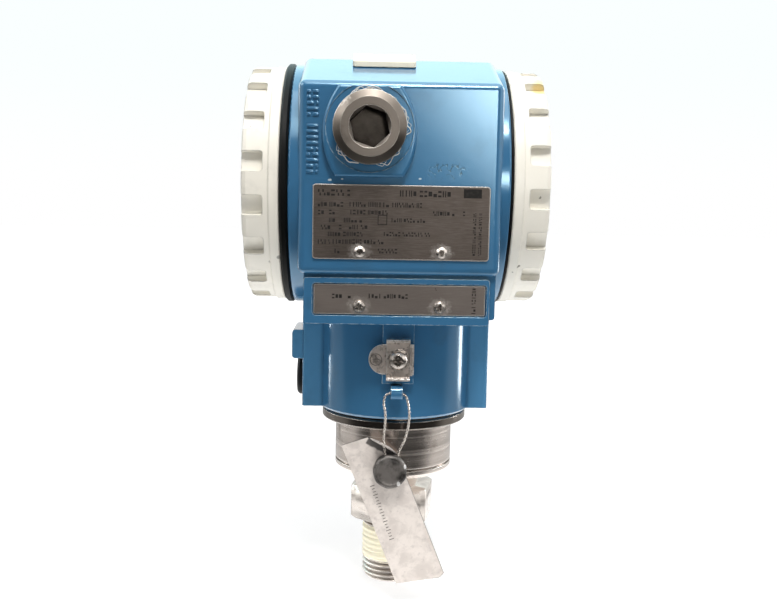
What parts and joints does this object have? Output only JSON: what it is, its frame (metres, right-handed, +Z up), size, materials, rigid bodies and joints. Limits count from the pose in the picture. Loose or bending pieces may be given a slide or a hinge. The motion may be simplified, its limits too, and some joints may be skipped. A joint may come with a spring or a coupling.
{
  "type": "pressure transmitter",
  "caption": "Field pressure transmitter: swivelling cast housing with screw covers, keys under a flap and a threaded stainless process connection.",
  "frame": {"origin": "on the process axis, at the shoulder under the hexagon where the process thread begins", "axes": "+Z up along the process axis away from the process, -Y towards the face with the plates, X along the housing's two covers"},
  "size_m": [0.0974, 0.0945, 0.1861],
  "materials": {
    "blue_paint": "glossy powder coat on die-cast aluminium",
    "cover_paint": "semi-gloss light grey paint on die-cast aluminium",
    "stainless": "turned stainless steel",
    "plate_metal": "worn brushed plate",
    "screw_metal": "bright stainless fasteners",
    "seal_rubber": "black rubber",
    "black_plastic": "black moulded plastic",
    "flap_plastic": "cream moulded plastic",
    "lead": "pressed lead, dull dark grey",
    "tag_metal": "thin mottled stainless sheet",
    "board": "green circuit board",
    "ceramic": "white ceramic",
    "copper": "insulated leads and plated clamps"
  },
  "bodies": {
    "sensor": {"process_connection": "stainless", "sensor_can": "stainless", "neck_adapter": "stainless", "neck_seal": "seal_rubber", "isolating_diaphragm": "stainless", "pressure_cell": "ceramic", "sensor_leads": "copper", "sensor_board": "board", "sensor_socket": "black_plastic"},
    "housing": {"housing": "blue_paint", "sensor_cable": "black_plastic", "blanking_plug": "stainless", "nameplate": "plate_metal", "nameplate_pins": "screw_metal", "range_plate": "plate_metal", "range_plate_screws": "screw_metal", "ground_plate": "screw_metal", "ground_clamp": "screw_metal", "ground_washer": "screw_metal", "ground_screw": "screw_metal", "vent_cap": "black_plastic", "vent_membrane": "ceramic", "swivel_set_screw": "screw_metal", "key_spring_1": "screw_metal", "key_spring_2": "screw_metal", "key_spring_3": "screw_metal", "key_panel": "black_plastic", "flap_hinge_pin": "screw_metal", "terminal_block": "black_plastic", "terminal_clamps": "copper", "terminal_screws": "screw_metal", "terminal_block_screws": "screw_metal", "inner_ground_screw": "screw_metal", "electronics_module": "black_plastic", "module_screws": "screw_metal"},
    "terminal_cover_seal": {"terminal_cover_seal": "seal_rubber"},
    "terminal_cover": {"terminal_cover": "cover_paint"},
    "electronics_cover_seal": {"electronics_cover_seal": "seal_rubber"},
    "electronics_cover": {"electronics_cover": "cover_paint"},
    "key_flap": {"key_flap": "flap_plastic"},
    "key_1": {"key_plunger_1": "black_plastic"},
    "key_2": {"key_plunger_2": "black_plastic"},
    "key_3": {"key_plunger_3": "black_plastic"},
    "seal_loop": {"seal_wire": "screw_metal", "lead_seal": "lead"},
    "tag": {"tag_plate": "tag_metal"}
  },
  "joints": [
    {"name": "housing_swivel", "type": "hinge", "parent": "sensor", "child": "housing", "pos_m": [0, 0, 0.05], "axis": [0, 0, 1], "range_deg": [-190, 190]},
    {"name": "terminal_cover_travel", "type": "slide", "parent": "housing", "child": "terminal_cover_seal", "axis": [-1, 0, 0], "range_m": [0, 0.0064]},
    {"name": "terminal_cover_turn", "type": "hinge", "parent": "terminal_cover_seal", "child": "terminal_cover", "pos_m": [-0.0385, 0, 0.119], "axis": [-1, 0, 0], "range_deg": [0, 1530]},
    {"name": "electronics_cover_travel", "type": "slide", "parent": "housing", "child": "electronics_cover_seal", "axis": [1, 0, 0], "range_m": [0, 0.0083]},
    {"name": "electronics_cover_turn", "type": "hinge", "parent": "electronics_cover_seal", "child": "electronics_cover", "pos_m": [0.0351, 0, 0.119], "axis": [1, 0, 0], "range_deg": [0, 1980]},
    {"name": "key_flap_hinge", "type": "hinge", "parent": "housing", "child": "key_flap", "pos_m": [-0.0058, 0.017, 0.1618], "axis": [-1, 0, 0], "range_deg": [0, 115]},
    {"name": "seal_loop_swing", "type": "hinge", "parent": "housing", "child": "seal_loop", "pos_m": [0, -0.03, 0.0512], "axis": [-1, 0, 0], "range_deg": [0, 100]},
    {"name": "tag_swing", "type": "hinge", "parent": "seal_loop", "child": "tag", "pos_m": [-0.00378, -0.03045, 0.03331], "axis": [0, 1, 0], "range_deg": [-30, 3]},
    {"name": "key_1_press", "type": "slide", "parent": "housing", "child": "key_1", "axis": [0, 0, -1], "range_m": [0, 0.0012], "stiffness_N_per_m": 800, "springref_m": -0.0004, "deforming": ["key_spring_1"]},
    {"name": "key_2_press", "type": "slide", "parent": "housing", "child": "key_2", "axis": [0, 0, -1], "range_m": [0, 0.0012], "stiffness_N_per_m": 800, "springref_m": -0.0004, "deforming": ["key_spring_2"]},
    {"name": "key_3_press", "type": "slide", "parent": "housing", "child": "key_3", "axis": [0, 0, -1], "range_m": [0, 0.0012], "stiffness_N_per_m": 800, "springref_m": -0.0004, "deforming": ["key_spring_3"]}
  ],
  "couplings": [
    {"joint": "terminal_cover_travel", "follows": "terminal_cover_turn", "m_per_rad": 0.00023873},
    {"joint": "electronics_cover_travel", "follows": "electronics_cover_turn", "m_per_rad": 0.00023873}
  ]
}
